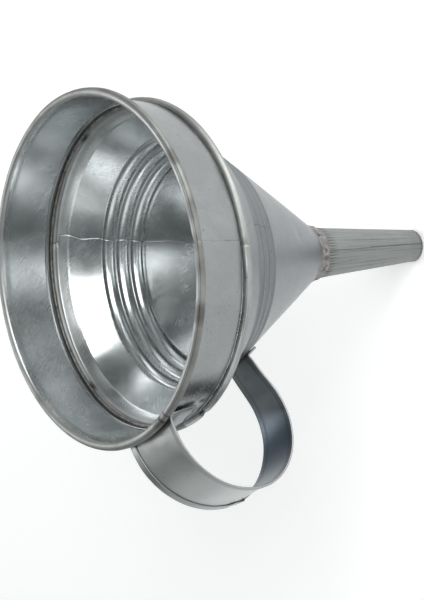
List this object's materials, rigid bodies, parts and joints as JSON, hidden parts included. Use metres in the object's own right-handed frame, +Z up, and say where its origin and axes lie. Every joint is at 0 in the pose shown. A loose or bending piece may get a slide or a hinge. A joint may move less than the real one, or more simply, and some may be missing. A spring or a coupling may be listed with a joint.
{
  "type": "filling funnel",
  "caption": "Galvanised sheet-metal filling funnel: wired mouth collar, ribbed cone, tapered spout and side strap handle.",
  "frame": {"origin": "on the funnel's axis at the neck, where the cone's lower edge meets the spout", "axes": "+Z up the funnel's axis to the mouth, +X from the axis towards the handle, +Y across the handle strap"},
  "size_m": [0.2655, 0.22, 0.2785],
  "materials": {
    "tin_sheet": "bright galvanised sheet, faintly brushed",
    "cone_sheet": "galvanised sheet, blue-grey",
    "spout_sheet": "galvanised sheet, dull",
    "strap_sheet": "galvanised sheet, satin",
    "wire_steel": "drawn steel wire",
    "solder": "dull soft solder"
  },
  "bodies": {
    "root": {"collar_band": "tin_sheet", "rim_wire": "wire_steel", "cone_body": "cone_sheet", "cone_wire": "wire_steel", "collar_seam_solder": "solder", "spout_tube": "spout_sheet", "spout_solder": "solder", "handle_strap": "strap_sheet", "handle_front_solder": "solder", "handle_rear_solder": "solder"}
  },
  "joints": []
}
